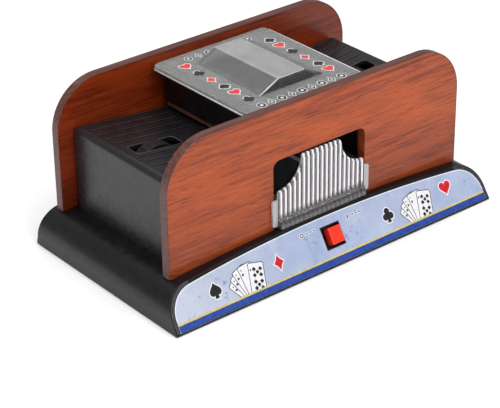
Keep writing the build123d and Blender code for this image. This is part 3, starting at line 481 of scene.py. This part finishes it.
def suit(kind):
    """An outline about one unit tall, centred."""
    if kind == "diamond":
        pts = []
        corners = [(0.36, 0), (0, 0.5), (-0.36, 0), (0, -0.5)]
        for i in range(4):
            (x0, y0), (x1, y1) = corners[i], corners[(i + 1) % 4]
            for k in range(8):
                u = k / 8
                x, y = x0 + (x1 - x0) * u, y0 + (y1 - y0) * u
                s = 1 - 0.16 * math.sin(math.pi * u)
                pts.append((x * s, y * s))
        return pts
    if kind == "heart":
        pts = []
        for i in range(64):
            t = 2 * math.pi * i / 64
            x = 16 * math.sin(t) ** 3
            y = 13 * math.cos(t) - 5 * math.cos(2 * t) - 2 * math.cos(3 * t) - math.cos(4 * t)
            pts.append((x / 33, (y + 2.6) / 31))
        return pts
    stem = [(0.03, 0.02), (0.05, -0.25), (0.19, -0.5), (-0.19, -0.5), (-0.05, -0.25), (-0.03, 0.02)]
    if kind == "spade":
        leaf = [(x * 0.92, -y * 0.86 + 0.075) for x, y in suit("heart")]
        return star_union([leaf, stem])
    return star_union([circle(0, 0.25, 0.225), circle(-0.235, -0.09, 0.225), circle(0.235, -0.09, 0.225),
                       [(-0.1, 0.15), (0.1, 0.15), (0.1, -0.15), (-0.1, -0.15)], stem])


def placed(pts, x, y, size, turn=0.0, grow=0.0, wide=1.0):
    c, s = math.cos(math.radians(turn)), math.sin(math.radians(turn))
    out = []
    n = len(pts)
    scaled = [(px * size * wide, py * size) for px, py in pts]
    if grow:
        moved = []
        area = sum(scaled[i - 1][0] * scaled[i][1] - scaled[i][0] * scaled[i - 1][1] for i in range(n))
        sign = 1 if area > 0 else -1
        for i in range(n):
            (ax, ay), (bx, by), (cx, cy) = scaled[i - 1], scaled[i], scaled[(i + 1) % n]
            n1 = Vector((by - ay, ax - bx)).normalized() * sign
            n2 = Vector((cy - by, bx - cx)).normalized() * sign
            m = n1 + n2
            if m.length < 1e-6:
                m = n1
            m = m.normalized() * min(1.6, 1 / max(0.45, m.normalized().dot(n1)))
            moved.append((bx + m.x * grow, by + m.y * grow))
        scaled = moved
    for px, py in scaled:
        out.append((x + c * px - s * py, y + s * px + c * py))
    return out


def clip(pts, a, b, c):
    """Keeps the part of a polygon where a*x + b*y + c >= 0."""
    out = []
    for i in range(len(pts)):
        p, q = pts[i - 1], pts[i]
        dp, dq = a * p[0] + b * p[1] + c, a * q[0] + b * q[1] + c
        if (dp >= 0) != (dq >= 0):
            t = dp / (dp - dq)
            out.append((p[0] + (q[0] - p[0]) * t, p[1] + (q[1] - p[1]) * t))
        if dq >= 0:
            out.append(q)
    return out


def arc3(p0, p1, p2, n=20):
    """Points along the circle through three points."""
    (ax, ay), (bx, by), (cx, cy) = p0, p1, p2
    d = 2 * (ax * (by - cy) + bx * (cy - ay) + cx * (ay - by))
    ux = ((ax * ax + ay * ay) * (by - cy) + (bx * bx + by * by) * (cy - ay) + (cx * cx + cy * cy) * (ay - by)) / d
    uy = ((ax * ax + ay * ay) * (cx - bx) + (bx * bx + by * by) * (ax - cx) + (cx * cx + cy * cy) * (bx - ax)) / d
    r = math.hypot(ax - ux, ay - uy)
    a0, a1, a2 = (math.atan2(y - uy, x - ux) for x, y in (p0, p1, p2))
    while a1 < a0:
        a1 += 2 * math.pi
    while a2 < a0:
        a2 += 2 * math.pi
    if a1 > a2:
        a2 -= 2 * math.pi
    return [(ux + r * math.cos(a0 + (a2 - a0) * i / n), uy + r * math.sin(a0 + (a2 - a0) * i / n)) for i in range(n + 1)]


def ribbon(path, w):
    """A strip of width w along an open path, as quads."""
    left, right = [], []
    for i, p in enumerate(path):
        a, b = path[max(0, i - 1)], path[min(len(path) - 1, i + 1)]
        d = Vector((b[0] - a[0], b[1] - a[1])).normalized()
        left.append((p[0] - d.y * w / 2, p[1] + d.x * w / 2))
        right.append((p[0] + d.y * w / 2, p[1] - d.x * w / 2))
    return [left + right[::-1]]


# the label: outline, stripes along the bottom, thin border along the top
rim_left = arc3((-116.9, 7.5), (-112.4, 18.9), (-101.1, 24.4)) + arc3((-101.1, 24.4), (0, 29.6), (101.1, 24.4), 60)[1:]
rim = rim_left + arc3((101.1, 24.4), (112.4, 18.9), (116.9, 7.5))[1:]
F0, F1, F2, F3, F4 = to_face(-0.1), to_face(0.03), to_face(0.05), to_face(0.07), to_face(0.09)


def band(s0, s1, name, material):
    x = lambda s: 117.0 - 0.1 * s / 7.5 - 0.12
    plate(name, [[(-x(s0), s0), (x(s0), s0), (x(s1), s1), (-x(s1), s1)]], material, "root", F0, F1)


band(1.08, 1.4, "stripe_foot", ink_line)
band(1.4, 4.7, "stripe_blue", ink_blue)
band(4.7, 4.95, "stripe_line", ink_line)
band(4.95, 6.15, "stripe_gold", ink_gold)
inset = []
for i, p in enumerate(rim):
    a, b = rim[max(0, i - 1)], rim[min(len(rim) - 1, i + 1)]
    d = Vector((b[0] - a[0], b[1] - a[1])).normalized()
    inset.append((p[0] + d.y * 0.4, p[1] - d.x * 0.4))
plate("label_border", ribbon(inset, 0.45), ink_white, "root", F0, F1)

# suits along the label
for nm, kind, x, s, h, wide, mat_, turn in (
    ("spade", "spade", -87.2, 15.5, 9.6, 0.92, ink_black, 0),
    ("diamond", "diamond", -41.5, 15.5, 9.0, 1.06, ink_red, 0),
    ("club", "club", 42.1, 15.6, 9.0, 0.98, ink_black, 0),
    ("heart", "heart", 89.7, 16.6, 8.8, 1.02, ink_red, 0),
):
    shape = suit(kind)
    plate("label_" + nm + "_edge", [placed(shape, x, s, h, turn, 0.62, wide)], ink_white, "root", F0, F2)
    plate("label_" + nm, [placed(shape, x, s, h, turn, 0.0, wide)], mat_, "root", F0, F3)


# a hand of five cards, cut off by the gold stripe
def card(w, h, r=1.1, n=5):
    pts = []
    for cx, cy, a0 in ((w / 2 - r, h - r, 0), (-w / 2 + r, h - r, 90), (-w / 2 + r, r, 180), (w / 2 - r, r, 270)):
        for i in range(n + 1):
            a = math.radians(a0 + 90 * i / n)
            pts.append((cx + r * math.cos(a), cy + r * math.sin(a)))
    return pts


HAND = ((-64.5, 2.6, 36, 9.0, 17.0), (-64.2, 3.9, 27, 9.0, 17.0), (-63.7, 5.0, 18, 9.0, 17.2),
        (-62.6, 4.6, 6, 9.0, 17.6), (-60.8, 2.9, -13, 9.8, 18.2))


def hand(tag, dx):
    low = 6.15
    lift = 0.03
    for k, (px, py, turn, w, h) in enumerate(HAND):
        px += dx
        c, s = math.cos(math.radians(turn)), math.sin(math.radians(turn))
        place = lambda pts: [(px + c * x - s * y, py + s * x + c * y) for x, y in pts]
        trim = lambda pts: clip(pts, 0, 1, -low)
        edge = 0.42
        plate(f"hand_{tag}_line{k}", [trim(place([(x, y - edge) for x, y in card(w + 2 * edge, h + 2 * edge, 1.2)]))],
              ink_line, "root", F0, to_face(lift))
        plate(f"hand_{tag}_card{k}", [trim(place(card(w, h, 0.9)))], ink_white, "root", F0, to_face(lift + 0.012))
        pips = []
        if k < 4:
            pips.append(placed(suit("spade" if k % 2 else "club"), -w / 2 + 1.5, h - 4.6, 1.7))
            pips.append(placed(suit("diamond"), -w / 2 + 1.5, h - 2.2, 1.3))
        else:
            for i, row in enumerate((h - 3.2, h - 6.6, h - 10.6, h - 14.2)):
                for cx in (-1.4, 2.8):
                    pips.append(placed(suit("spade"), cx, row, 2.7 if i < 2 else -2.7, 0, 0, 1.0))
            pips.append(placed(suit("spade"), 0.7, h - 4.9, 2.6, 0, 0, 1.0))
            pips.append(placed(suit("spade"), 0.7, h - 12.4, -2.6, 0, 0, 1.0))
            pips.append(placed(suit("spade"), -w / 2 + 1.1, h - 3.6, 1.4))
        plate(f"hand_{tag}_pips{k}", [p for p in (trim(place(q)) for q in pips) if len(p) > 2], ink_black, "root", F0, to_face(lift + 0.024))
        lift += 0.026


hand("left", 0.0)
hand("right", 129.4)

# switch marks: a ring and a bar, and rows of small strokes
for tag, x0, bar in (("off", -20.6, False), ("on", 14.2, True)):
    mark = [(x0 - 0.4, 22.9), (x0 + 0.4, 22.9), (x0 + 0.4, 25.5), (x0 - 0.4, 25.5)] if bar else circle(x0, 24.2, 1.3, 28)
    dots = [[(x0 + 3.2 + 2.6 * i, 23.9), (x0 + 4.7 + 2.6 * i, 23.9), (x0 + 4.7 + 2.6 * i, 24.6), (x0 + 3.2 + 2.6 * i, 24.6)] for i in range(3)]
    plate(f"mark_{tag}_edge", [placed(q, 0, 0, 1, 0, 0.35) for q in [mark] + dots], ink_white, "root", F0, F1)
    plate(f"mark_{tag}", [mark] + dots, ink_line, "root", F0, F2)
    if not bar:
        plate(f"mark_{tag}_core", [circle(x0, 24.2, 0.72, 24)], ink_white, "root", F0, F3)

# thin, slightly raised lines round the ends of the base, outside the label, light grey as painted highlights on its
# end edge
for sx in (-1, 1):
    for k, off in enumerate((0.85, 1.75)):
        path = []
        src = [(-117.0, 1.0)] + arc3((-116.9, 7.5), (-112.4, 18.9), (-101.1, 24.4))
        for i, p in enumerate(src):
            a, b = src[max(0, i - 1)], src[min(len(src) - 1, i + 1)]
            d = Vector((b[0] - a[0], b[1] - a[1])).normalized()
            path.append((sx * -1 * (p[0] - d.y * off) * -1, p[1] + d.x * off))
        plate(f"end_line_{'left' if sx > 0 else 'right'}_{k}", ribbon(path, 0.26), end_line_glint, "root",
              to_face(-0.6), to_face(-0.35 + 0.05))

# the lid's printing
L0, L1, L2, L3 = to_lid(-0.05), to_lid(0.03), to_lid(0.05), to_lid(0.07)
order_l = ("heart", "club", "diamond", "spade", "heart", "club")
order_r = ("spade", "heart", "club", "diamond", "spade", "heart")
ys_l = (36.2, 24.6, 12.9, 1.6, -9.0, -20.2)
ys_r = (34.2, 24.0, 13.1, 1.9, -9.6, -19.6)
for side_, xs, order, ys in (("l", -29.9, order_l, ys_l), ("r", 30.9, order_r, ys_r)):
    for i, (kind, y) in enumerate(zip(order, ys)):
        shape = suit(kind)
        m_ = lid_red if kind in ("heart", "diamond") else lid_black
        plate(f"lid_{side_}{i}_edge", [placed(shape, xs, y, 7.4, 0, 0.6)], lid_white, "lid", L0, L1)
        plate(f"lid_{side_}{i}", [placed(shape, xs, y, 7.4)], m_, "lid", L0, L2)

# rows of small ornaments, front and back
def ornaments(tag, xs, y, size):
    edge, core, eye = [], [], []
    for i, x in enumerate(xs):
        shape = suit("diamond") if i % 2 else circle(0, 0, 0.42, 28)
        edge.append(placed(shape, x, y, size, 0, 0.5, 0.95))
        core.append(placed(shape, x, y, size, 0, 0.0, 0.95))
        eye.append(placed(shape, x, y, size * 0.45, 0, 0, 0.95))
    plate(f"lid_{tag}_row_edge", edge, lid_white, "lid", L0, L1)
    plate(f"lid_{tag}_row", core, lid_black, "lid", L0, L2)
    plate(f"lid_{tag}_row_eye", eye, lid_white, "lid", L0, L3)


ornaments("front", [-29.6 + 7.4 * i for i in range(9)], -31.4, 6.2)
ornaments("back", [-22.2 + 7.4 * i for i in range(7)], 44.2, 5.4)

lines = []
for x in (-35.2, -37.0, -38.8, -40.4):
    lines.append([(x - 0.25, -37.5), (x + 0.25, -37.5), (x + 0.25, 50), (x - 0.25, 50)])
for x in (36.0, 38.0, 40.0):
    lines.append([(x - 0.25, -37.5), (x + 0.25, -37.5), (x + 0.25, 50), (x - 0.25, 50)])
plate("lid_rib_lines", lines, ink_grey, "lid", L0, to_lid(0.12))

# painted highlights on the lid's edges, as thin bright rods let into its edges
glint = plastic("edge_glint", lin(226, 228, 228), lin(246, 247, 247), 0.18, 0.28)
glint.put("Transmission Weight", 0.15)
# grey rods: fainter painted highlights
faint_glint = plastic("edge_glint_faint", lin(120, 122, 122), lin(150, 152, 152), 0.2, 0.3)


def rod(name, pts, r, material, body, sides=10):
    """A rounded bar along a path of points in mm."""
    bm = bmesh.new()
    rings = []
    path = [Vector(p) * MM for p in pts]
    for i, p in enumerate(path):
        d = (path[min(i + 1, len(path) - 1)] - path[max(i - 1, 0)]).normalized()
        side = d.cross(Vector((0, 0, 1)))
        if side.length < 1e-3:
            side = d.cross(Vector((1, 0, 0)))
        side.normalize()
        over = side.cross(d).normalized()
        rings.append([bm.verts.new(p + (side * math.cos(2 * math.pi * k / sides) + over * math.sin(2 * math.pi * k / sides)) * r * MM)
                      for k in range(sides)])
    for a_, b_ in zip(rings, rings[1:]):
        for k in range(sides):
            f_ = bm.faces.new([a_[k], a_[(k + 1) % sides], b_[(k + 1) % sides], b_[k]])
            f_.smooth = True
    bm.faces.new(rings[0][::-1])
    bm.faces.new(rings[-1])
    bmesh.ops.recalc_face_normals(bm, faces=bm.faces)
    mesh = bpy.data.meshes.new(name)
    bm.to_mesh(mesh)
    bm.free()
    mesh.materials.append(material.m)
    ob = bpy.data.objects.new(name, mesh)
    bpy.context.collection.objects.link(ob)
    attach(ob, body)
    return ob


lid_lo, lid_hi = (v_ / MM for v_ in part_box("clear_lid"))
RF, RB, RT = -22.2, 35.0, 104.58
rod("lid_edge_ridge_left", [(-9.3, RF + 0.2, RT), (-9.3, RB - 0.3, RT)], 0.38, glint, "lid")
rod("lid_edge_ridge_right", [(9.3, RF + 0.2, RT), (9.3, RB - 0.3, RT)], 0.26, glint, "lid")
rod("lid_edge_ridge_front", [(-9.3, RF + 0.28, RT), (9.3, RF + 0.28, RT)], 0.4, glint, "lid")
rod("lid_edge_front_left", [(-9.4, RF + 0.25, RT), (-23.6, RF + 0.25, 97.6)], 0.38, glint, "lid")
rod("lid_edge_front_right", [(9.4, RF + 0.2, RT), (23.6, RF + 0.2, 97.6)], 0.16, faint_glint, "lid")
rod("lid_edge_back_left", [(-9.4, RB - 0.3, RT), (-23.6, RB - 0.3, 97.6)], 0.2, faint_glint, "lid")
rod("lid_edge_back", [(-9.3, RB - 0.3, RT), (9.3, RB - 0.3, RT)], 0.2, glint, "lid")
rod("lid_edge_rim_left", [(lid_lo.x + 0.42, lid_lo.y + 5, 95.0), (lid_lo.x + 0.42, lid_hi.y - 5.5, 95.0)], 0.4, glint, "lid")
rod("lid_edge_rim_right", [(lid_hi.x - 1.2, lid_lo.y + 5, 96.9), (lid_hi.x - 1.2, lid_hi.y - 5.5, 96.9)], 0.42, glint, "lid")
rod("lid_edge_rim_back", [(lid_lo.x + 6, lid_hi.y - 0.75, 97.0), (lid_hi.x - 6, lid_hi.y - 0.75, 97.0)], 0.2, faint_glint, "lid")

# painted highlights on the crests of the tray grooves, and on the rim round each wheel slot
crest_glint = plastic("crest_painted_highlight", lin(58, 57, 60), lin(84, 83, 87), 0.3, 0.42)
for tag, sx in (("left", -1), ("right", 1)):
    fz = lambda x: 75.0 - 0.11 * (99.3 - abs(x))
    strips = []
    bm = bmesh.new()
    for i in range(-5, 7):
        gy = 21.7 + 7.2 * (i - 2)
        if 1.6 < gy < 16.2:
            continue
        quad = []
        for x in (93.2, 38.6):
            for dy in (0.42, 0.72):
                quad.append(Vector((sx * x, gy + dy, fz(x))))
        strips.append(quad)
    for q in strips:
        v_ = [bm.verts.new((p + Vector((0, 0, dz))) * MM) for dz in (-0.1, 0.03) for p in (q[0], q[1], q[3], q[2])]
        bm.faces.new(v_[0:4])
        bm.faces.new(v_[4:8])
        for k in range(4):
            bm.faces.new([v_[k], v_[(k + 1) % 4], v_[4 + (k + 1) % 4], v_[4 + k]])
    bmesh.ops.recalc_face_normals(bm, faces=bm.faces)
    mesh = bpy.data.meshes.new(tag + "_tray_glint_strips")
    bm.to_mesh(mesh)
    bm.free()
    mesh.materials.append(crest_glint.m)
    ob = bpy.data.objects.new(tag + "_tray_glint_strips", mesh)
    bpy.context.collection.objects.link(ob)
    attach(ob, "root")
    loop = []
    for cx, cy, a0 in ((88.0, 12.5, 0), (60.1, 12.5, 90), (60.1, 5.3, 180), (88.0, 5.3, 270)):
        for k in range(7):
            a_ = math.radians(a0 + 15 * k)
            x, y = cx + 2.05 * math.cos(a_), cy + 2.05 * math.sin(a_)
            loop.append((sx * x, y, fz(x) + 0.02))
    loop.append(loop[0])
    rod(tag + "_slot_rim", loop, 0.24, crest_glint, "root", 8)
    # painted highlight along the line where the outer end turns up into the floor
    rod(tag + "_end_lip", [(sx * 96.0, -39.5, fz(96.0) - 0.02), (sx * 96.0, 51.0, fz(96.0) - 0.02)], 0.14, crest_glint, "root", 8)

# ---------------------------------------------------------------- the stage
floor_mesh = bpy.data.meshes.new("floor")
bm = bmesh.new()
bmesh.ops.create_grid(bm, x_segments=2, y_segments=2, size=3.0)
bm.to_mesh(floor_mesh)
bm.free()
floor = bpy.data.objects.new("floor", floor_mesh)
bpy.context.collection.objects.link(floor)
ground = Mat("floor_paper")
g = ground.noise(ground.space(), 6.0, 3, 0.5)
ground.put("Base Color", ground.ramp(g, [(0.3, (0.86, 0.86, 0.865)), (0.7, (0.88, 0.88, 0.885))]))
ground.put("Roughness", ground.span(g, 0.85, 0.95, 0.3, 0.7))
ground.put("Specular IOR Level", 0.1)
floor_mesh.materials.append(ground.m)

world = bpy.data.worlds.new("studio")
bpy.context.scene.world = world
world.use_nodes = True
bg = world.node_tree.nodes.get("Background") or world.node_tree.nodes.new("ShaderNodeBackground")
bg.inputs[0].default_value = (1.0, 1.0, 1.0, 1)
bg.inputs[1].default_value = 0.36


def lamp(name, at, to, size, power, size_y=None):
    d = bpy.data.lights.new(name, "AREA")
    d.energy = power
    d.shape = "RECTANGLE"
    d.size, d.size_y = size, size_y or size
    o = bpy.data.objects.new(name, d)
    o.location = at
    o.rotation_mode = "QUATERNION"
    o.rotation_quaternion = (Vector(to) - Vector(at)).to_track_quat("-Z", "Y")
    bpy.context.collection.objects.link(o)
    return o


lamp("overhead", (0.0, -0.1, 2.3), (0, 0, 0), 2.6, 62.0)
lamp("front", (-0.25, -1.5, 0.95), (0, 0, 0.04), 1.0, 9.0, 0.7)
lamp("left_fill", (-1.4, 0.1, 0.45), (0, 0, 0.05), 0.6, 2.2, 0.5)

cam_data = bpy.data.cameras.new("camera")
cam = bpy.data.objects.new("camera", cam_data)
bpy.context.collection.objects.link(cam)
az, el, roll = (math.radians(a) for a in (-39.26, 28.78, -0.7))
back = Vector((math.sin(az) * math.cos(el), -math.cos(az) * math.cos(el), math.sin(el)))
fwd = -back
right = fwd.cross(Vector((0, 0, 1))).normalized()
up = right.cross(fwd)
c, s = math.cos(roll), math.sin(roll)
r2, u2 = right * c + up * s, right * -s + up * c
mw = Matrix.Identity(4)
for i in range(3):
    mw[i][0], mw[i][1], mw[i][2] = r2[i], u2[i], back[i]
mw[0][3], mw[1][3], mw[2][3] = -0.6193, -0.74455, 0.54379
cam.matrix_world = mw
cam_data.sensor_width = 36
cam_data.lens = 133.63
cam_data.shift_x, cam_data.shift_y = -0.00676, -0.00036
cam_data.clip_start, cam_data.clip_end = 0.05, 20
bpy.context.scene.camera = cam
bpy.context.scene.view_settings.view_transform = "Standard"
